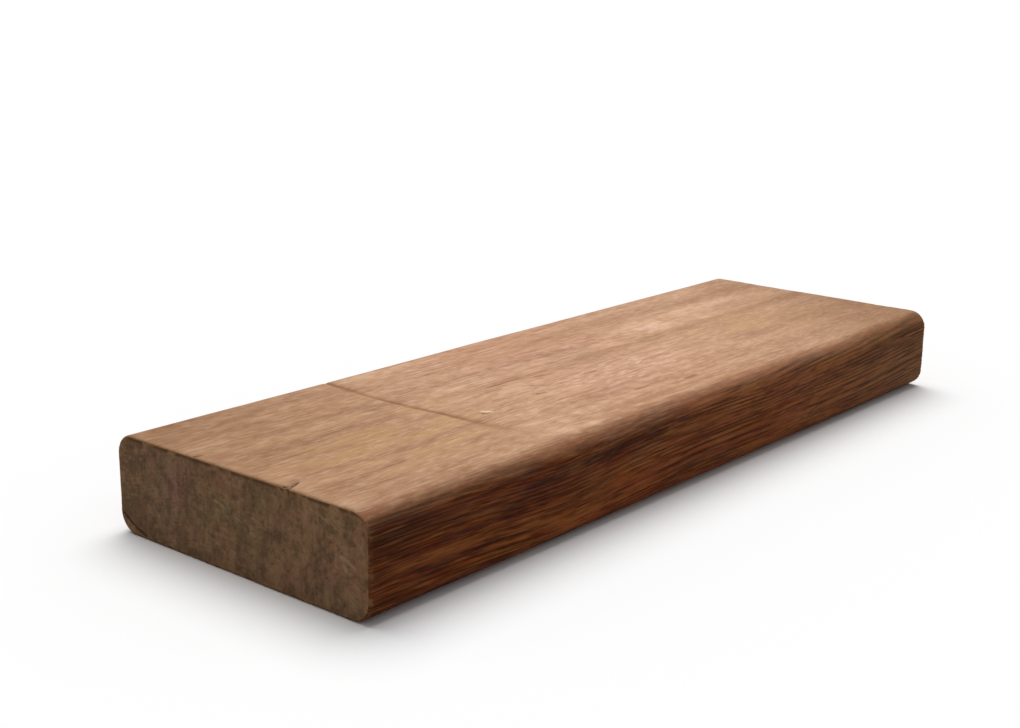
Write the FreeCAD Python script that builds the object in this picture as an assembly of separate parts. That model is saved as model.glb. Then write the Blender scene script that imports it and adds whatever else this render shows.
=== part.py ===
"""Short length of solid timber decking board: one sawn and planed piece.

Row frame, in millimetres: +X runs along the board, +Y across its width and +Z up.
The origin is the middle of the underside, the face that lies on the joists.
"""

import FreeCAD, Part
import os

# Driving dimensions.
LENGTH = 290.0  # cut length, along X
WIDTH = 95.0  # face width, along Y
THICKNESS = 28.0  # along Z
EDGE_RADIUS = 6.0  # planed round on the four long edges
END_ARRIS = 0.4  # rubbed-down arris round each sawn end

LENGTH_AXIS = FreeCAD.Vector(1, 0, 0)
TOLERANCE = 1e-6


def is_long_edge(edge):
    """True for an edge that runs along the board."""
    start, end = edge.Vertexes[0].Point, edge.Vertexes[-1].Point
    return (end - start).cross(LENGTH_AXIS).Length < TOLERANCE


def is_end_edge(edge):
    """True for an edge of a sawn end's outline."""
    box = edge.BoundBox
    return box.XLength < TOLERANCE and abs(abs(box.XMin) - LENGTH / 2) < TOLERANCE


def make_board():
    """Planed blank with its long edges rounded, then the arris rubbed off both sawn ends."""
    corner = FreeCAD.Vector(-LENGTH / 2, -WIDTH / 2, 0)
    blank = Part.makeBox(LENGTH, WIDTH, THICKNESS, corner)
    long_edges = [edge for edge in blank.Edges if is_long_edge(edge)]
    planed = blank.makeFillet(EDGE_RADIUS, long_edges)
    end_edges = [edge for edge in planed.Edges if is_end_edge(edge)]
    return planed.makeFillet(END_ARRIS, end_edges)


def main():
    os.makedirs("parts", exist_ok=True)
    board = make_board()
    if not board.isValid() or len(board.Solids) != 1:
        raise RuntimeError("the board is not one valid solid")
    board.exportStep("parts/board.step")
    print(f"board: {board.Volume / 1000:.1f} cm3, {len(board.Faces)} faces")


main()
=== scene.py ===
"""Looks for one piece of timber decking board: its mesh, wood materials, floor, light and camera.

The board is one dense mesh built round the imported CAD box. Sizes inside the mesh code are in
millimetres, and `MM` turns them into Blender's metres. X runs along the board from the near end
(negative) to the far end, Y across it with the front edge on the negative side, and Z up.
"""

import math
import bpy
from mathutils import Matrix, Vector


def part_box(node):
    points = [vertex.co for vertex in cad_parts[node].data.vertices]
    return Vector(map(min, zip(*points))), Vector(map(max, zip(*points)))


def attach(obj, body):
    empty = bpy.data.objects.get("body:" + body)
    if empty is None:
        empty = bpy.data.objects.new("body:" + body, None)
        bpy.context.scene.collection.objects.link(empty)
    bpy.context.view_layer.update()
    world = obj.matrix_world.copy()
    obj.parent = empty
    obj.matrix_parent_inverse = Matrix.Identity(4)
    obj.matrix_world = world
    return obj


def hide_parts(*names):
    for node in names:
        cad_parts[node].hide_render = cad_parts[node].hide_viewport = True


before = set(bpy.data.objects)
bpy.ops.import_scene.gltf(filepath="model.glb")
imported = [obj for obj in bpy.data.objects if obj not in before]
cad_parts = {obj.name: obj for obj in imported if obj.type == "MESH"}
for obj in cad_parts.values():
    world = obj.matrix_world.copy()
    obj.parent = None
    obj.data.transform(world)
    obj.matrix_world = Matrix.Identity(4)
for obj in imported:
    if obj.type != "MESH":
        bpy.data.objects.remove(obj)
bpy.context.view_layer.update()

from types import SimpleNamespace

import bpy
import numpy as np
from mathutils import Matrix, Vector

MM = 0.001
NODE = "board"

# Section and length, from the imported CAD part.
box_low, box_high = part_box(NODE)
LENGTH, WIDTH, THICKNESS = ((high - low) / MM for low, high in zip(box_low, box_high))
EDGE_RADIUS = 6.0  # planed round on the four long edges
ARC = EDGE_RADIUS * math.pi / 2  # length of one round, measured over it
ARRIS = 0.55  # rubbed-down arris round each sawn end
NEAR = -LENGTH / 2
FAR = LENGTH / 2
FRONT = -WIDTH / 2
BACK = WIDTH / 2

# Mesh density: quads across a wide face, across a narrow face, along the board and over an arris.
ACROSS = 150
UPRIGHT = 96
ALONG = 126
ARRIS_ROWS = 4
# Where columns across the wide faces pack closer, for the splits, the chip and the corner crack:
# (place, reach, times), with the place measured from the middle towards the front.
WIDE_SPOTS = ((-15.5, 1.2, 1.5), (18.5, 2.2, 1.5), (12.5, 1.8, 1.5), (-44.0, 3.0, 0.6))
# Where rows along the board pack closer, for the dent, the chip and the two ends.
LONG_SPOTS = ((NEAR + 71.5, 5.5, 5.0), (NEAR + 81.2, 2.6, 4.0), (NEAR, 7.0, 2.5), (FAR, 4.0, 1.5))
GRADING_STEPS = 6001

# The noise's table of random values, and the large primes that pick one for each cell.
NOISE_TABLE = 8192
NOISE_PRIMES = (73856093, 19349663, 83492791)


# ---------------------------------------------------------------- small helpers

def graded(low, high, count, spots=()):
    """count + 1 places from low to high, packed closer round each spot (place, reach, times)."""
    fine = np.linspace(low, high, GRADING_STEPS)
    density = np.ones_like(fine)
    for place, reach, times in spots:
        density += times * np.exp(-(((fine - place) / reach) ** 4))
    total = np.concatenate(([0.0], np.cumsum((density[1:] + density[:-1]) / 2)))
    return np.interp(np.linspace(0.0, total[-1], count + 1), total, fine)


def smoothstep(low, high, value):
    """0 at low and 1 at high, eased at both. It falls instead where low is the larger."""
    part = np.clip((value - low) / (high - low), 0.0, 1.0)
    return part * part * (3.0 - 2.0 * part)


def noise(points, cell, seed):
    """Smooth seeded noise from -1 to 1, with cells of the given (x, y, z) size in millimetres."""
    cells = points / np.array(cell, dtype=float)
    base = np.floor(cells).astype(np.int64)
    part = cells - base
    part = part ** 3 * (part * (part * 6 - 15) + 10)
    table = np.random.default_rng(seed).uniform(-1.0, 1.0, NOISE_TABLE)
    total = np.zeros(len(points))
    for dx in (0, 1):
        for dy in (0, 1):
            for dz in (0, 1):
                key = (
                    (base[:, 0] + dx) * NOISE_PRIMES[0]
                    ^ (base[:, 1] + dy) * NOISE_PRIMES[1]
                    ^ (base[:, 2] + dz) * NOISE_PRIMES[2]
                )
                share = (
                    np.where(dx, part[:, 0], 1 - part[:, 0])
                    * np.where(dy, part[:, 1], 1 - part[:, 1])
                    * np.where(dz, part[:, 2], 1 - part[:, 2])
                )
                total += share * table[key % NOISE_TABLE]
    return total


def spot(u, v, u_reach, v_reach):
    """A soft round patch, 1 at its middle."""
    return np.exp(-((u / u_reach) ** 2 + (v / v_reach) ** 2))


# ---------------------------------------------------------------- the board's grid

def strip(straight, count, spots=()):
    """One side of the section between the middles of its two rounds.

    Gives places across it, depths below its face, and the outward normal's two parts.
    """
    reach = straight / 2 + ARC / 2
    walked = graded(-reach, reach, count, spots)
    way = np.sign(walked)
    flat = np.minimum(np.abs(walked), straight / 2)
    angle = (np.abs(walked) - flat) / EDGE_RADIUS
    across = way * (flat + EDGE_RADIUS * np.sin(angle))
    depth = EDGE_RADIUS * (1 - np.cos(angle))
    return across, depth, way * np.sin(angle), np.cos(angle)


def section():
    """The closed outline: (y, z) points and outward normals, from the top's back round forward."""
    wide = strip(WIDTH - 2 * EDGE_RADIUS, ACROSS, WIDE_SPOTS)
    tall = strip(THICKNESS - 2 * EDGE_RADIUS, UPRIGHT)
    middle = THICKNESS / 2
    points, normals = [], []
    across, depth, lean, out = (part[:-1] for part in wide)
    points.append(np.stack([-across, THICKNESS - depth], 1))
    normals.append(np.stack([-lean, out], 1))
    across, depth, lean, out = (part[:-1] for part in tall)
    points.append(np.stack([FRONT + depth, middle - across], 1))
    normals.append(np.stack([-out, -lean], 1))
    # The underside is walked back the other way, so its stations are the top's, reversed.
    across, depth, lean, out = (part[::-1][:-1] for part in wide)
    points.append(np.stack([-across, depth], 1))
    normals.append(np.stack([-lean, -out], 1))
    across, depth, lean, out = (part[::-1][:-1] for part in tall)
    points.append(np.stack([BACK - depth, middle - across], 1))
    normals.append(np.stack([out, -lean], 1))
    return np.concatenate(points), np.concatenate(normals)


def wrap_rows():
    """Rows along the board: x, how far the section is drawn in, and the tilt towards the end."""
    turn = np.linspace(math.pi / 2, 0, ARRIS_ROWS + 1)
    near_x = NEAR + ARRIS * (1 - np.sin(turn))
    inset = ARRIS * (1 - np.cos(turn))
    middle_x = graded(NEAR + ARRIS, FAR - ARRIS, ALONG, LONG_SPOTS)[1:-1]
    none = np.zeros(len(middle_x))
    x = np.concatenate([near_x, middle_x, -near_x[::-1]])
    drawn = np.concatenate([inset, none, inset[::-1]])
    tilt = np.concatenate([-turn, none, turn[::-1]])
    return x, drawn, tilt


def cap_inside(ring):
    """Points inside one end, blended from its four sides. The ring runs as section() does."""
    top = ring[: ACROSS + 1]
    front = ring[ACROSS : ACROSS + UPRIGHT + 1]
    bottom = ring[ACROSS + UPRIGHT : 2 * ACROSS + UPRIGHT + 1][::-1]
    back = np.concatenate([ring[2 * ACROSS + UPRIGHT :], ring[:1]])[::-1]
    u = np.linspace(0, 1, ACROSS + 1)[1:-1, None, None]
    v = np.linspace(0, 1, UPRIGHT + 1)[None, 1:-1, None]
    ruled = (1 - v) * top[1:-1, None] + v * bottom[1:-1, None]
    ruled = ruled + (1 - u) * back[None, 1:-1] + u * front[None, 1:-1]
    corners = (1 - v) * ((1 - u) * top[0] + u * top[-1])
    corners = corners + v * ((1 - u) * bottom[0] + u * bottom[-1])
    return (ruled - corners).reshape(-1, 2)


def cap_faces(first_of_ring, first_inside, flip):
    """Quads of one end, on the ring's vertices and the inside ones."""
    ids = np.empty((ACROSS + 1, UPRIGHT + 1), dtype=np.int64)
    columns = 2 * (ACROSS + UPRIGHT)
    ids[:, 0] = first_of_ring + np.arange(ACROSS + 1)
    ids[-1, :] = first_of_ring + ACROSS + np.arange(UPRIGHT + 1)
    ids[:, -1] = first_of_ring + 2 * ACROSS + UPRIGHT - np.arange(ACROSS + 1)
    ids[0, :] = first_of_ring + (columns - np.arange(UPRIGHT + 1)) % columns
    inside = np.arange((ACROSS - 1) * (UPRIGHT - 1)).reshape(ACROSS - 1, UPRIGHT - 1)
    ids[1:-1, 1:-1] = first_inside + inside
    quads = np.stack([ids[:-1, :-1], ids[:-1, 1:], ids[1:, 1:], ids[1:, :-1]], -1).reshape(-1, 4)
    return quads[:, ::-1] if flip else quads


def board_grid():
    """Smooth board: vertices, their long-grain and end-grain normals, quads, and which are ends."""
    outline, normals = section()
    columns = len(outline)
    x, drawn, tilt = wrap_rows()
    rows = len(x)
    around = outline[None] - drawn[:, None, None] * normals[None]
    wrap = np.concatenate([np.repeat(x[:, None, None], columns, 1), around], 2).reshape(-1, 3)
    side = np.concatenate(
        [np.zeros((rows, columns, 1)), np.cos(tilt)[:, None, None] * normals[None]], 2
    ).reshape(-1, 3)
    end = np.zeros_like(side)
    end[:, 0] = np.repeat(np.sin(tilt), columns)

    i, j = np.meshgrid(np.arange(rows - 1), np.arange(columns), indexing="ij")
    after = (j + 1) % columns
    quads = [
        np.stack(
            [i * columns + j, i * columns + after, (i + 1) * columns + after, (i + 1) * columns + j],
            -1,
        ).reshape(-1, 4)
    ]
    points, sides, ends = [wrap], [side], [end]
    is_end = [np.zeros(len(quads[0]), dtype=bool)]
    ring = outline - ARRIS * normals
    inside = cap_inside(ring)
    for place, way, first_of_ring in ((NEAR, -1.0, 0), (FAR, 1.0, (rows - 1) * columns)):
        first_inside = sum(len(p) for p in points)
        points.append(np.concatenate([np.full((len(inside), 1), place), inside], 1))
        sides.append(np.zeros((len(inside), 3)))
        ends.append(np.tile([way, 0.0, 0.0], (len(inside), 1)))
        faces = cap_faces(first_of_ring, first_inside, way > 0)
        quads.append(faces)
        is_end.append(np.ones(len(faces), dtype=bool))
    return (
        np.concatenate(points),
        np.concatenate(sides),
        np.concatenate(ends),
        np.concatenate(quads),
        np.concatenate(is_end),
    )


# ---------------------------------------------------------------- grain and relief

PITH = (8.0, -75.0)  # the log's heart, (y, z), so far below that growth layers lie nearly flat
RING_PITCH = 1.15  # thickness of one growth layer
FAR_AWAY = 6.0  # in a mark's widths: from here on it no longer shows

# How deep each mark is cut in.
DENT_DEPTH = 0.34
SPLIT_DEPTH = 0.75
END_SPLIT_DEPTH = 0.85
CHECK_DEPTH = 0.14
CHIP_DEPTH = 0.45
LIP_HEIGHT = 0.15
SCORE_DEPTH = 0.12


def below_top(points, sides):
    """Distance over the surface from the top face's edge: 0 on top, growing down each long side."""
    up = np.clip(sides[:, 2] / np.maximum(np.linalg.norm(sides, axis=1), 1e-9), -1, 1)
    straight = np.maximum(THICKNESS - EDGE_RADIUS - points[:, 2], 0.0)
    return np.where(up > 1e-6, EDGE_RADIUS * np.arccos(up), ARC + straight)


def grain_flow(points):
    """The points moved so that a grain line is where y and z stay the same."""
    x, y, z = points.T
    from_near = x - NEAR
    near_front = smoothstep(10.0, -45.0, y)
    dip = 2.0 * np.exp(-(((from_near - 74.0) / 27.0) ** 2)) * near_front
    rise = 0.045 * np.maximum(from_near - 175.0, 0.0) * near_front
    wander_z = 1.1 * noise(points, (95, 30, 15), 11) + 0.28 * noise(points, (36, 14, 7), 12)
    wander_y = 2.2 * noise(points, (120, 17, 30), 13) + 0.6 * noise(points, (41, 7, 12), 14)
    return np.stack([x, y + wander_y, z + dip - rise + wander_z], 1)


def growth_layers(flow):
    """Distance from the pith, with layers of uneven thickness. A layer starts at each whole pitch."""
    ring = np.hypot(flow[:, 1] - PITH[0], flow[:, 2] - PITH[1])
    return ring + 0.75 * np.sin(ring / 2.9) + 0.35 * np.sin(ring / 1.3 + 1.0)


def to_line(points, start, stop, width):
    """Distance from the line from start to stop, in widths that taper towards its two ends."""
    start, stop = np.array(start, dtype=float), np.array(stop, dtype=float)
    run = stop - start
    part = np.clip((points - start) @ run / (run @ run), 0.0, 1.0)
    away = np.linalg.norm(points - (start + part[:, None] * run), axis=1)
    return away / (width * (0.4 + 0.6 * np.sin(math.pi * (0.15 + 0.7 * part))))


def nearest(points, lines):
    """Distance to the nearest of several (start, stop, width) lines, in its widths."""
    found = np.full(len(points), FAR_AWAY)
    for start, stop, width in lines:
        found = np.minimum(found, to_line(points, start, stop, width))
    return found


def closeness(distance):
    """1 on a mark and falling away smoothly, from a distance in widths."""
    return np.exp(-(distance ** 2))


def near_end(y, z, inward=0.0):
    """A point on the near end's face, or that far along the board from it."""
    return (NEAR + inward, y, z)


def on_top(from_near, y):
    """A point on the top face, by its distance from the near end."""
    return (NEAR + from_near, y, THICKNESS)


# Drying splits in the near end's top edge, and the crack round its lower back corner.
SPLITS = (
    (on_top(0.0, 15.9), on_top(2.4, 15.2), 0.36),
    (on_top(0.0, -20.2), on_top(5.2, -18.2), 0.46),
    (on_top(0.0, -18.0), on_top(1.0, -19.6), 0.36),
    (near_end(-19.6, 28.0), near_end(-20.0, 26.2), 0.24),
    (near_end(46.4, 5.3), near_end(42.0, 2.7), 0.34),
    (near_end(42.0, 2.7), near_end(37.0, 0.8), 0.30),
    (near_end(46.6, 5.3), near_end(46.9, 4.6, 7.0), 0.30),
)
# Short surface checks that run with the grain on the top.
CHECKS = (
    (on_top(93.0, 0.4), on_top(104.0, 0.0), 0.51),
    (on_top(97.0, 3.7), on_top(116.0, 3.6), 0.42),
    (on_top(109.0, -3.2), on_top(115.0, -6.6), 0.64),
    (on_top(118.0, 1.3), on_top(126.0, 0.6), 0.48),
    (on_top(105.0, -11.0), on_top(109.5, -12.4), 0.54),
    (on_top(131.0, -7.6), on_top(140.0, -8.4), 0.48),
    (on_top(128.0, -30.0), on_top(137.0, -30.6), 0.54),
    (on_top(150.0, -33.6), on_top(157.0, -33.9), 0.64),
    (on_top(30.0, 4.6), on_top(46.0, 5.0), 0.45),
    (on_top(12.0, -2.0), on_top(26.0, -2.6), 0.38),
    (on_top(178.0, 5.5), on_top(196.0, 5.1), 0.42),
)
# Pale scores left on the near end.
SCORES = (
    (near_end(8.2, 18.4), near_end(1.0, 15.9), 0.42),
    (near_end(1.0, 15.9), near_end(-7.5, 12.4), 0.36),
    (near_end(-35.5, 16.2), near_end(-38.6, 14.8), 0.50),
    (near_end(-38.2, 15.6), near_end(-42.2, 13.6), 0.45),
    (near_end(-38.6, 14.8), near_end(-39.8, 11.4), 0.55),
    (near_end(-29.5, 24.3), near_end(-38.0, 21.2), 0.34),
    (near_end(11.0, 8.2), near_end(6.6, 6.6), 0.34),
)
# The chip beside the dent, darkened as painted shadow, and the pale lip of wood raised along it, drawn
# as a painted highlight.
CHIP_AND_SHADOW = (on_top(79.4, -12.6), on_top(80.9, -13.9), 0.55)
LIP_AND_HIGHLIGHT = (on_top(80.5, -11.6), on_top(82.4, -13.4), 0.78)
# The shallow dent that runs across the top: y, and how far its line is from the near end there.
DENT_PATH = (
    (-42.0, 74.8), (-34.0, 74.1), (-25.0, 72.4), (-17.0, 71.9), (-11.0, 72.2), (-4.0, 71.7),
    (5.0, 70.5), (20.0, 69.8), (36.0, 71.0), (46.0, 72.4),
)


def cross_dent(points):
    """The dent across the top: distance from its line in widths, and its strength."""
    x, y, z = points.T
    from_near = x - NEAR
    path_y, path_x = zip(*DENT_PATH)
    line = sum(np.interp(y + shift, path_y, path_x) for shift in (-3.0, -1.0, 1.0, 3.0)) / 4
    width = 1.05 + 1.9 * smoothstep(-10.0, -32.0, y) + 0.35 * noise(points, (500, 5, 500), 22)
    strength = smoothstep(-44.0, -24.0, y) * (0.45 + 0.55 * smoothstep(-26.0, -8.0, y))
    strength = strength * (0.80 + 0.20 * noise(points, (500, 7, 500), 23))
    strength = strength * smoothstep(THICKNESS - 4.0, THICKNESS - 0.5, z)
    return np.clip((from_near - line) / width, -FAR_AWAY, FAR_AWAY), strength


def rim_distance(points):
    """Distance over the surface from the nearest end arris."""
    x, y, z = points.T
    over_y = np.maximum(np.abs(y) - (WIDTH / 2 - EDGE_RADIUS), 0.0)
    over_z = np.maximum(np.abs(z - THICKNESS / 2) - (THICKNESS / 2 - EDGE_RADIUS), 0.0)
    flat = np.minimum(WIDTH / 2 - np.abs(y), THICKNESS / 2 - np.abs(z - THICKNESS / 2))
    inside = np.where((over_y > 0) & (over_z > 0), EDGE_RADIUS - np.hypot(over_y, over_z), flat)
    return np.maximum(LENGTH / 2 - np.abs(x), 0.0) + np.maximum(inside, 0.0)


def grain_relief(points, sides, flow, ring):
    """Planed and worn waviness, and furrows between growth layers, deepest on the narrow faces."""
    upright = smoothstep(0.45, 0.95, np.abs(sides[:, 1]))
    sway = 0.10 * noise(points, (70, 16, 9), 31) + 0.05 * noise(points, (24, 9, 6), 32)
    figure = 0.5 + 0.5 * smoothstep(-0.5, 0.6, noise(flow, (55, 5, 4), 33))
    late = smoothstep(0.0, 0.95, np.sin(ring * 2 * math.pi / RING_PITCH)) * figure
    hair = noise(flow, (18, 0.75, 0.75), 34) + 0.5 * noise(flow, (7, 1.6, 1.6), 35)
    return sway - (0.02 + 0.13 * upright) * late + (0.035 + 0.03 * upright) * hair


def sawn_relief(points):
    """Saw marks that run up the ends, over a slightly fibrous surface."""
    x, y, z = points.T
    leaning = np.stack([x, y + 0.05 * z + 0.5 * noise(points, (9, 20, 14), 41), z], 1)
    saw = noise(leaning, (400, 1.5, 60), 42) + 0.8 * noise(leaning, (400, 3.4, 80), 43)
    fibre = noise(points, (2, 1.3, 0.9), 44) + 0.7 * noise(points, (2, 2.6, 2.0), 45)
    return 0.05 * saw + 0.04 * fibre + 0.08 * noise(points, (50, 14, 10), 46)


def pale_and_sheen_top(points, flow, below):
    """1 on the pale top, dry wood with a painted sheen, down to 0 where dark wood takes over on each
    long round; near the middle of the board it gives way sooner and more slowly, as painted shade over
    the round.
    """
    ragged = 0.6 * noise(flow, (22, 1.1, 1.1), 51) + 0.5 * noise(flow, (50, 3.0, 3.0), 52)
    # Painted shade: towards the middle of the board the pale top gives way sooner and over a wider
    # band, shading each long round.
    middle = spot(points[:, 0] - NEAR - 142.0, 0.0, 50.0, 1.0)
    reach = 4.05 - 1.95 * middle
    return smoothstep(5.2, -4.4, (below - reach + ragged) / (1.0 + 0.45 * middle))


def board_fields(points, sides):
    """Relief along the two normals in millimetres, and the fields that the materials read."""
    flow = grain_flow(points)
    ring = growth_layers(flow)
    below = below_top(points, sides)
    offset, strength = cross_dent(points)
    split = nearest(points, SPLITS)
    check = nearest(points, CHECKS)
    score = nearest(points, SCORES)
    chip_and_shadow = to_line(points, *CHIP_AND_SHADOW)
    lip_and_highlight = to_line(points, *LIP_AND_HIGHLIGHT)

    long_relief = grain_relief(points, sides, flow, ring)
    long_relief -= DENT_DEPTH * strength * closeness(offset) + SPLIT_DEPTH * closeness(split)
    long_relief -= (
        CHECK_DEPTH * closeness(check) + CHIP_DEPTH * closeness(chip_and_shadow) - LIP_HEIGHT * closeness(lip_and_highlight)
    )
    end_relief = sawn_relief(points)
    end_relief -= END_SPLIT_DEPTH * closeness(split) + SCORE_DEPTH * closeness(score)

    # Painted shade: a dark line on the ends just under the top arris.
    shade_under_edge = closeness((THICKNESS - 0.8 - points[:, 2]) / 0.5)
    fields = {
        "flow": flow,
        "ring": ring,
        "pale_and_sheen": pale_and_sheen_top(points, flow, below),
        "rim": closeness(rim_distance(points) / 0.9),
        "tone": tones(points),
        "shade": shades(points, below),
        "sawn": np.stack([plum_patches(points), shade_under_edge, score], 1),
        "dent": np.stack([offset, strength, lip_and_highlight], 1),
        "cut": np.stack([split, check, chip_and_shadow], 1),
    }
    return long_relief, end_relief, fields


def tones(points):
    """Broad patches on the long faces: pink and bright (partly a painted sheen), yellow tan (with a
    painted highlight by the dent), and dark umber, each 0 to 1.
    """
    x, y, z = points.T
    from_near = x - NEAR
    # The pink patches are partly the wood's own tone and partly painted sheen, the last one broad over
    # the middle of the top.
    pink_and_sheen = np.minimum(1.3 * spot(from_near - 146.0, y + 13.0, 38.0, 13.0), 1.0)
    pink_and_sheen = np.maximum(pink_and_sheen, 0.85 * spot(from_near - 200.0, y - 14.0, 20.0, 6.0))
    pink_and_sheen = np.maximum(pink_and_sheen, 0.6 * spot(from_near - 240.0, y - 19.5, 20.0, 3.2))
    inward = 0.3 + 0.7 * smoothstep(-43.0, -32.0, y)
    pink_and_sheen = np.maximum(pink_and_sheen, 0.7 * inward * spot(from_near - 140.0, y, 44.0, 90.0))
    tan_and_highlight = spot(from_near - 45.0, y + 12.0, 45.0, 22.0)
    tan_and_highlight = np.maximum(tan_and_highlight, 0.7 * spot(from_near - 225.0, y + 10.0, 34.0, 16.0))
    tan_and_highlight = np.maximum(tan_and_highlight, 0.8 * spot(from_near - 54.0, y - 20.0, 15.0, 10.0))
    # A narrow strip along the near edge of the dent is a painted highlight.
    tan_and_highlight = np.maximum(tan_and_highlight, 1.2 * spot(from_near - 67.0, y + 4.0, 3.2, 20.0))
    umber = spot(from_near - 15.0, z - 21.8, 36.0, 3.7)
    umber = np.maximum(umber, 0.9 * spot(from_near - 62.0, z - 16.5, 24.0, 5.5))
    umber = np.maximum(umber, 0.8 * spot(from_near - 98.0, z - 20.5, 18.0, 3.2))
    return np.stack([pink_and_sheen, tan_and_highlight, umber], 1)


def shades(points, below):
    """Where the top is browner, how far along a point is, and the painted bounce light low on the long
    sides.
    """
    x, y, _ = points.T
    from_near = x - NEAR
    brown = smoothstep(125.0, 5.0, from_near) * (0.5 + 0.5 * smoothstep(-25.0, 35.0, y))
    towards_front = smoothstep(15.0, -25.0, y)
    brown = brown + 0.5 * smoothstep(235.0, 295.0, from_near)
    past_middle = towards_front * smoothstep(150.0, 215.0, from_near)
    brown = brown + (0.22 + 0.3 * smoothstep(200.0, 270.0, from_near)) * past_middle
    band = spot(from_near - 215.0, y - 29.0, 80.0, 3.6) + spot(from_near - 215.0, y - 4.5, 85.0, 2.6)
    brown = np.minimum(brown + 0.55 * band, 1.0)
    further = smoothstep(40.0, 200.0, from_near)
    # Painted bounce light: low on the long sides the colour is brightened and warmed as if lit from the
    # floor.
    painted_bounce_light = smoothstep(ARC + 1.0, ARC + 12.0, below) * smoothstep(5.0, 60.0, from_near)
    return np.stack([brown, further, painted_bounce_light * smoothstep(285.0, 190.0, from_near)], 1)


def plum_patches(points):
    """Plum-coloured patches on the sawn ends."""
    _, y, z = points.T
    plum = spot(y - 26.0, z - 17.0, 6.5, 9.0) + 0.6 * spot(y + 33.0, z - 6.0, 12.0, 7.0)
    return np.minimum(plum + 0.4 * spot(y + 16.0, z - 15.0, 5.0, 12.0), 1.0)


def add_field(mesh, name, values):
    """Stores one number or one vector for each vertex, for the materials to read."""
    if values.ndim == 1:
        made = mesh.attributes.new(name, "FLOAT", "POINT")
        made.data.foreach_set("value", values.astype(np.float32))
    else:
        made = mesh.attributes.new(name, "FLOAT_VECTOR", "POINT")
        made.data.foreach_set("vector", values.astype(np.float32).ravel())


def build_board():
    """The board's visual piece, with relief, in place of the plain CAD solid."""
    points, sides, ends, quads, is_end = board_grid()
    long_relief, end_relief, fields = board_fields(points, sides)
    shaped = points + long_relief[:, None] * sides + end_relief[:, None] * ends
    shaped[:, 2] = np.maximum(shaped[:, 2], 0.0)  # the underside lies flat on the ground
    origin = np.array([(box_low[0] + box_high[0]) / 2, (box_low[1] + box_high[1]) / 2, box_low[2]])
    mesh = bpy.data.meshes.new("board_timber")
    mesh.from_pydata((shaped * MM + origin).tolist(), [], quads.tolist())
    for name, values in fields.items():
        add_field(mesh, name, values)
    mesh.materials.append(long_grain_material())
    mesh.materials.append(end_grain_material())
    mesh.polygons.foreach_set("material_index", is_end.astype(np.int32))
    mesh.shade_smooth()
    mesh.validate()
    piece = bpy.data.objects.new("board_timber", mesh)
    bpy.context.scene.collection.objects.link(piece)
    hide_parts(NODE)
    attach(piece, "root")


# ---------------------------------------------------------------- materials

DRY_SHEEN = 0.05  # specular level of dry, unvarnished wood
LONG_GRAIN_BUMP = 0.25 * MM
END_GRAIN_BUMP = 0.30 * MM


def srgb(red, green, blue):
    """A colour written as 0 to 255 values, as Blender's linear colour."""
    def linear(value):
        part = value / 255.0
        return part / 12.92 if part <= 0.04045 else ((part + 0.055) / 1.055) ** 2.4
    return (linear(red), linear(green), linear(blue), 1.0)


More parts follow.
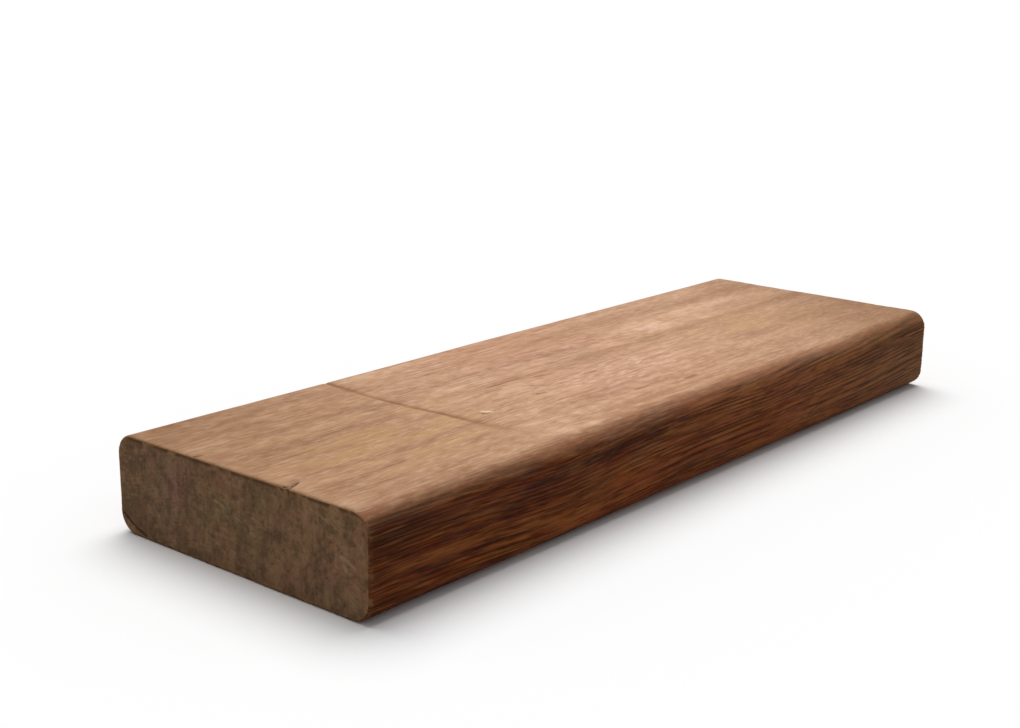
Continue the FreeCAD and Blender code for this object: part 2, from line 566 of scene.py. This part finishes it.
class Graph:
    """Short calls that add nodes to one material. A value may be a number, a colour or a socket."""

    def __init__(self, name):
        self.material = bpy.data.materials.new(name)
        self.material.use_nodes = True
        self.tree = self.material.node_tree
        self.tree.nodes.clear()

    def node(self, kind, inputs=(), **settings):
        made = self.tree.nodes.new(kind)
        for key, value in settings.items():
            setattr(made, key, value)
        for key, value in dict(inputs).items():
            if isinstance(value, bpy.types.NodeSocket):
                self.tree.links.new(value, made.inputs[key])
            else:
                made.inputs[key].default_value = value
        return made

    def field(self, name, output="Fac"):
        return self.node("ShaderNodeAttribute", attribute_name=name).outputs[output]

    def parts(self, name):
        """The three numbers of a vector field."""
        return self.node("ShaderNodeSeparateXYZ", {0: self.field(name, "Vector")}).outputs

    def near(self, distance):
        """1 on a line and falling away smoothly, from a distance in widths."""
        square = self.times(distance, distance)
        return self.math("EXPONENT", self.times(square, -1.0))

    def growth_lines(self, flow, waver):
        """The dark late wood of each growth layer, 0 to 1, stronger in some places."""
        turn = self.times(self.field("ring"), 2 * math.pi / RING_PITCH)
        wave = self.math("ADD", self.math("SINE", turn), self.times(waver, 1.6))
        figure = self.span(self.noise(flow, (24, 4, 3), 2), 0.36, 0.62, 0.1, 1.0)
        return self.times(self.span(wave, 0.8, 1.75), figure)

    def stretch(self, vector, cell):
        """Coordinates in cells of the given (x, y, z) size."""
        scale = [1.0 / size for size in cell]
        return self.node("ShaderNodeVectorMath", {0: vector, 1: scale}, operation="MULTIPLY").outputs[0]

    def noise(self, vector, cell, detail=2.0, roughness=0.5, distortion=0.0):
        inputs = {
            "Vector": self.stretch(vector, cell),
            "Scale": 1.0,
            "Detail": detail,
            "Roughness": roughness,
            "Distortion": distortion,
        }
        return self.node("ShaderNodeTexNoise", inputs).outputs[0]

    def math(self, operation, a, b=0.0, c=0.0):
        return self.node("ShaderNodeMath", {0: a, 1: b, 2: c}, operation=operation).outputs[0]

    def times(self, a, b):
        return self.math("MULTIPLY", a, b)

    def span(self, value, low, high, to_low=0.0, to_high=1.0):
        """value carried smoothly from low..high to to_low..to_high."""
        inputs = {"Value": value, 1: low, 2: high, 3: to_low, 4: to_high}
        made = self.node("ShaderNodeMapRange", inputs, interpolation_type="SMOOTHSTEP")
        return made.outputs[0]

    def mix(self, share, a, b, blend="MIX"):
        made = self.node("ShaderNodeMix", data_type="RGBA", blend_type=blend)
        for socket, value in ((made.inputs[0], share), (made.inputs[6], a), (made.inputs[7], b)):
            if isinstance(value, bpy.types.NodeSocket):
                self.tree.links.new(value, socket)
            else:
                socket.default_value = value
        return made.outputs[2]

    def stain(self, base, value, low, high, most, colour, share=None):
        """base carried towards colour as value goes from low to high, by most at the end."""
        amount = self.span(value, low, high, 0.0, most)
        if share is not None:
            amount = self.times(amount, share)
        return self.mix(amount, base, colour)

    def total(self, *terms):
        """The sum of (value, weight) terms."""
        found = 0.0
        for value, weight in terms:
            found = self.math("MULTIPLY_ADD", value, weight, found)
        return found

    def ramp(self, share, stops):
        made = self.node("ShaderNodeValToRGB", {0: share})
        ramp = made.color_ramp
        while len(ramp.elements) < len(stops):
            ramp.elements.new(0.5)
        for element, (place, colour) in zip(ramp.elements, stops):
            element.position = place
            element.color = colour
        return made.outputs[0]

    def finish(self, colour, roughness, height, distance):
        """The finished wood. The bump is fine only, and distance is its depth in metres."""
        bump = self.node("ShaderNodeBump", {"Height": height, "Strength": 1.0, "Distance": distance})
        inputs = {
            "Base Color": colour,
            "Roughness": roughness,
            "Specular IOR Level": DRY_SHEEN,
            "Normal": bump.outputs[0],
        }
        shader = self.node("ShaderNodeBsdfPrincipled", inputs)
        self.node("ShaderNodeOutputMaterial", {"Surface": shader.outputs[0]})
        return self.material


def long_grain_noises(g):
    """What the long grain is drawn with, from fine hair to broad cloud. Cells run along it."""
    flow = g.field("flow", "Vector")
    grain = SimpleNamespace(
        hair=g.noise(flow, (11, 0.42, 0.42), 3, 0.6),
        flake=g.noise(flow, (13, 1.1, 1.1), 2, 0.55),
        band=g.noise(flow, (36, 2.6, 2.6), 2, 0.5),
        cloud=g.noise(flow, (60, 11, 9), 3, 0.55),
        streak=g.noise(flow, (90, 6.0, 6.0), 3, 0.55),
        blotch=g.noise(flow, (24, 7.2, 7.2), 2, 0.5),
        mottle=g.noise(flow, (4.8, 2.6, 2.6), 3, 0.55),
        vein=g.noise(flow, (45, 1.3, 1.3), 3, 0.6),
        dash=g.noise(flow, (4.2, 1.0, 1.0), 2, 0.5),
        fray=g.noise(flow, (16, 0.5, 0.5), 3, 0.6),
        hue=g.noise(flow, (34, 4.5, 4.0), 2, 0.5),
    )
    grain.late = g.growth_lines(flow, grain.hair)
    return grain


def side_wood(g, grain, lively):
    """The narrow faces: deep red-brown with fine dark lines, paler and duller further along."""
    _, _, umber = g.parts("tone")
    brown, further, painted_bounce_light = g.parts("shade")
    side = g.mix(further, srgb(110, 56, 26), srgb(148, 89, 50))
    # Painted bounce light from the floor, brighter and warmer low on the long sides.
    painted_bounce_share = g.times(painted_bounce_light, g.span(grain.cloud, 0.34, 0.6, 0.45, 0.9))
    side = g.mix(painted_bounce_share, side, srgb(154, 82, 38))
    side = g.mix(g.times(brown, further), side, srgb(140, 102, 70))
    side = g.stain(side, grain.band, 0.50, 0.36, 0.75, srgb(72, 35, 18), lively)
    side = g.stain(side, grain.band, 0.52, 0.66, 0.46, srgb(160, 102, 62))
    side = g.stain(side, grain.flake, 0.49, 0.34, 0.60, srgb(64, 30, 14), lively)
    side = g.stain(side, grain.flake, 0.53, 0.68, 0.50, srgb(172, 112, 66), lively)
    side = g.stain(side, grain.hair, 0.53, 0.66, 0.38, srgb(168, 112, 72))
    side = g.mix(g.times(grain.late, 0.75), side, srgb(50, 23, 11))
    side = g.stain(side, grain.hair, 0.47, 0.33, 0.75, srgb(44, 20, 9))
    tint = g.ramp(grain.hue, [(0.38, srgb(255, 226, 210)), (0.62, srgb(250, 247, 211))])
    side = g.mix(lively, side, tint, "MULTIPLY")
    return g.mix(g.times(umber, 0.85), side, srgb(176, 162, 160), "MULTIPLY")


def top_wood(g, grain, lively):
    """The walked face: pale and dry with a painted sheen, in pink and tan patches, calmer towards the
    far end.
    """
    pink_and_sheen, tan_and_highlight, _ = g.parts("tone")
    brown, _, _ = g.parts("shade")
    patchy = g.times(g.total((grain.mottle, 0.38), (grain.blotch, 0.44), (-0.41, 1.0)), lively)
    share = g.total(
        (grain.streak, 0.38), (patchy, 1.0), (grain.vein, 0.06), (pink_and_sheen, 0.13), (0.28, 1.0),
    )
    # The top's pale colours hold a painted sheen as well as the dry wood's own colour.
    top = g.ramp(share, [
        (0.35, srgb(172, 128, 96)), (0.46, srgb(191, 149, 118)), (0.54, srgb(201, 159, 128)),
        (0.66, srgb(223, 184, 152)),
    ])
    # The tan patches, and the painted highlight along the dent's near edge.
    tanned_and_highlit = g.times(tan_and_highlight, g.span(grain.blotch, 0.38, 0.6, 0.1, 0.85))
    top = g.mix(tanned_and_highlit, top, srgb(198, 158, 112))
    # The pink patch: the wood's tone with a painted sheen over it.
    pink_and_sheen_share = g.times(pink_and_sheen, g.span(grain.mottle, 0.36, 0.58, 0.2, 0.9))
    top = g.mix(pink_and_sheen_share, top, srgb(228, 184, 157))
    top = g.mix(g.times(grain.late, 0.04), top, srgb(150, 106, 78))
    # Pale flecks in the pink patch: torn grain drawn as glints of the painted sheen.
    sheen_flecks = g.span(pink_and_sheen, 0.55, 1.0, 0.22, 1.0)
    top = g.stain(top, grain.dash, 0.53, 0.65, 1.0, srgb(244, 211, 186), sheen_flecks)
    top = g.stain(top, grain.dash, 0.42, 0.28, 0.3, srgb(150, 108, 80), lively)
    return g.mix(brown, top, srgb(208, 201, 189), "MULTIPLY")


def marked_top(g, top):
    """The walked face with the dent, the checks and the chip in it."""
    offset, strength, lip_and_highlight = g.parts("dent")
    _, check, chip_and_shadow = g.parts("cut")
    dent = g.times(g.near(offset), strength)
    top = g.mix(g.times(dent, 0.9), top, srgb(134, 92, 56))
    top = g.mix(g.times(g.near(check), 0.75), top, srgb(120, 80, 56))
    # Painted shadow: the chip is darkened as if shaded by its lip.
    top = g.mix(g.near(chip_and_shadow), top, srgb(104, 68, 46))
    # Painted highlight: the raised lip is drawn near white.
    return g.mix(g.near(lip_and_highlight), top, srgb(246, 218, 192))


def long_grain_material():
    """The planed faces: pale on top, which frays into the dark sides, with rubbed end edges that carry
    a painted highlight.
    """
    g = Graph("wood_long_grain")
    pale_and_sheen = g.field("pale_and_sheen")
    rim = g.field("rim")
    _, further, _ = g.parts("shade")
    split, _, _ = g.parts("cut")
    grain = long_grain_noises(g)
    lively = g.total((further, -0.4), (1.0, 1.0))
    side = side_wood(g, grain, lively)
    top = marked_top(g, top_wood(g, grain, lively))

    frayed = g.total((pale_and_sheen, 1.0), (grain.fray, 0.8), (-0.40, 1.0))
    colour = g.mix(frayed, side, top)
    halfway = g.times(frayed, g.total((frayed, -4.0), (4.0, 1.0)))
    colour = g.mix(halfway, colour, srgb(238, 226, 216), "MULTIPLY")
    # The end arris: worn wood with a painted highlight, paler than both faces.
    rubbed_and_highlight = g.times(rim, g.span(grain.mottle, 0.40, 0.6, 0.1, 0.75))
    colour = g.mix(rubbed_and_highlight, colour, srgb(150, 118, 82))
    colour = g.mix(g.times(g.near(split), 0.9), colour, srgb(66, 40, 24))

    roughness = g.span(grain.streak, 0.3, 0.7, 0.58, 0.74)
    rough_sides = g.total((pale_and_sheen, -0.8), (1.0, 1.0))
    fibre = g.times(g.math("SUBTRACT", grain.hair, grain.mottle), rough_sides)
    height = g.total((fibre, 0.8), (grain.vein, 0.5), (grain.dash, 0.3))
    return g.finish(colour, roughness, height, LONG_GRAIN_BUMP)


def end_grain_material():
    """Sawn ends: olive-brown, mottled, with upright saw marks, pores and faint growth rings."""
    g = Graph("wood_end_grain")
    at = g.field("flow", "Vector")
    rim = g.field("rim")
    plum, shade_under_arris, score = g.parts("sawn")
    split, _, _ = g.parts("cut")
    _, further, _ = g.parts("shade")
    _, across, _ = g.node("ShaderNodeSeparateXYZ", {0: at}).outputs
    cloud = g.noise(at, (40, 12, 9), 3, 0.6)
    patch = g.noise(at, (20, 4.0, 3.8), 2, 0.55)
    speck = g.noise(at, (3, 1.5, 1.4), 2, 0.6)
    saw = g.noise(at, (100, 1.1, 20), 3, 0.6)
    band = g.noise(at, (100, 4.2, 40), 2, 0.5)
    late = g.growth_lines(at, speck)
    base = g.ramp(cloud, [
        (0.38, srgb(131, 106, 76)), (0.5, srgb(137, 107, 78)), (0.62, srgb(140, 103, 78)),
    ])
    base = g.stain(base, across, -4.0, -22.0, 0.5, srgb(154, 114, 82))
    base = g.stain(base, across, 30.0, 47.0, 0.6, srgb(110, 84, 62))
    mottled = g.total((further, -0.5), (1.0, 1.0))
    plummy = g.times(plum, g.span(cloud, 0.36, 0.56, 0.3, 0.8))
    base = g.mix(g.times(plummy, mottled), base, srgb(146, 102, 92))
    base = g.stain(base, patch, 0.50, 0.36, 0.60, srgb(102, 81, 58), mottled)
    base = g.stain(base, patch, 0.53, 0.66, 0.50, srgb(162, 128, 94), mottled)
    base = g.stain(base, band, 0.48, 0.34, 0.35, srgb(106, 80, 58))
    rings = g.times(late, g.total((further, 0.25), (0.22, 1.0)))
    base = g.mix(rings, base, srgb(96, 72, 52))
    base = g.stain(base, saw, 0.46, 0.32, 0.25, srgb(92, 69, 50))
    base = g.stain(base, saw, 0.56, 0.70, 0.14, srgb(166, 136, 102))
    base = g.stain(base, speck, 0.46, 0.30, 0.50, srgb(84, 62, 45))
    base = g.stain(base, speck, 0.55, 0.70, 0.32, srgb(174, 144, 110))
    scored = g.times(g.near(score), g.span(speck, 0.35, 0.6, 0.05, 0.5))
    base = g.mix(scored, base, srgb(176, 156, 124))
    # The end arris: worn wood with a painted highlight.
    rubbed_and_highlight = g.times(rim, g.span(patch, 0.42, 0.56, 0.1, 0.75))
    base = g.mix(rubbed_and_highlight, base, srgb(158, 114, 72))
    # Painted shade in a line just under the top arris.
    base = g.stain(base, patch, 0.62, 0.46, 0.8, srgb(82, 58, 36), shade_under_arris)
    colour = g.mix(g.times(g.near(split), 0.95), base, srgb(34, 21, 14))
    roughness = g.span(patch, 0.3, 0.7, 0.72, 0.88)
    height = g.total((speck, 0.6), (saw, 0.4))
    return g.finish(colour, roughness, height, END_GRAIN_BUMP)


# ---------------------------------------------------------------- floor, light and camera

FLOOR_SEEN = 0.97  # what the camera and reflections see
FLOOR_BOUNCE = 0.50  # what the board is lit by
WORLD_LEVEL = 0.32
SUN_LEVEL = 2.45
SUN_SOFTNESS = 55.0  # degrees across
SUN_FROM = (0.30, 0.32, 1.0)
FLOOR_HALF = 30.0  # metres
FLOOR_GAP = 0.02 * MM  # keeps the floor's face off the underside
CAMERA_PLACE = (-376.1, -280.7, 150.4)  # millimetres
CAMERA_AZIMUTH = 39.74  # degrees, from the board's length towards its back
CAMERA_DOWN = 14.75  # degrees below level
CAMERA_ROLL = 0.93  # degrees
CAMERA_LENS = 53.65  # millimetres, on a sensor this wide:
CAMERA_SENSOR = 36.0


def seen_directly(tree):
    """1 for rays from the camera, in reflections and through glass, else 0."""
    path = tree.nodes.new("ShaderNodeLightPath")
    total = path.outputs["Is Camera Ray"]
    for name in ("Is Glossy Ray", "Is Transmission Ray"):
        add = tree.nodes.new("ShaderNodeMath")
        add.operation = "ADD"
        add.use_clamp = True
        tree.links.new(total, add.inputs[0])
        tree.links.new(path.outputs[name], add.inputs[1])
        total = add.outputs[0]
    return total


def seen_mix(tree, lighting, seen):
    """A grey that is one level for lighting and another where it is seen."""
    mix = tree.nodes.new("ShaderNodeMix")
    mix.data_type = "RGBA"
    tree.links.new(seen_directly(tree), mix.inputs[0])
    mix.inputs[6].default_value = (lighting, lighting, lighting, 1.0)
    mix.inputs[7].default_value = (seen, seen, seen, 1.0)
    return mix.outputs[2]


def build_floor():
    """A wide plain floor that keeps the board's soft shadow."""
    level = box_low[2] - FLOOR_GAP
    ways = ((-1, -1), (1, -1), (1, 1), (-1, 1))
    corners = [(x_way * FLOOR_HALF, y_way * FLOOR_HALF, level) for x_way, y_way in ways]
    mesh = bpy.data.meshes.new("floor")
    mesh.from_pydata(corners, [], [(0, 1, 2, 3)])
    material = bpy.data.materials.new("floor")
    material.use_nodes = True
    tree = material.node_tree
    tree.nodes.clear()
    diffuse = tree.nodes.new("ShaderNodeBsdfDiffuse")
    output = tree.nodes.new("ShaderNodeOutputMaterial")
    tree.links.new(seen_mix(tree, FLOOR_BOUNCE, FLOOR_SEEN), diffuse.inputs["Color"])
    tree.links.new(diffuse.outputs[0], output.inputs["Surface"])
    mesh.materials.append(material)
    floor = bpy.data.objects.new("floor", mesh)
    bpy.context.scene.collection.objects.link(floor)


def build_light():
    """One broad soft lamp overhead, a little behind the board, and an even world."""
    scene = bpy.context.scene
    world = bpy.data.worlds.new("studio")
    world.use_nodes = True
    tree = world.node_tree
    background = next(node for node in tree.nodes if node.type == "BACKGROUND")
    tree.links.new(seen_mix(tree, WORLD_LEVEL, 1.0), background.inputs["Color"])
    background.inputs["Strength"].default_value = 1.0
    scene.world = world
    sun = bpy.data.lights.new("soft_lamp", "SUN")
    sun.energy = SUN_LEVEL
    sun.angle = math.radians(SUN_SOFTNESS)
    lamp = bpy.data.objects.new("soft_lamp", sun)
    lamp.rotation_euler = Vector(SUN_FROM).to_track_quat("Z", "Y").to_euler()
    scene.collection.objects.link(lamp)


def build_camera():
    """The main view: above the near end and in front, looking along the board."""
    place = Vector(CAMERA_PLACE) * MM
    angles = (CAMERA_AZIMUTH, CAMERA_DOWN, CAMERA_ROLL)
    azimuth, down, roll = (math.radians(angle) for angle in angles)
    forward = Vector((
        math.cos(azimuth) * math.cos(down), math.sin(azimuth) * math.cos(down), -math.sin(down),
    ))
    right = forward.cross(Vector((0, 0, 1))).normalized()
    right = Matrix.Rotation(-roll, 3, forward) @ right
    up = right.cross(forward)
    turn = Matrix((right, up, -forward)).transposed().to_4x4()
    data = bpy.data.cameras.new("camera")
    data.sensor_width = CAMERA_SENSOR
    data.lens = CAMERA_LENS
    data.clip_start = 0.01
    data.clip_end = 200.0
    camera = bpy.data.objects.new("camera", data)
    camera.matrix_world = Matrix.Translation(place) @ turn
    bpy.context.scene.collection.objects.link(camera)
    bpy.context.scene.camera = camera


build_board()
build_floor()
build_light()
build_camera()
bpy.context.scene.view_settings.view_transform = "Standard"
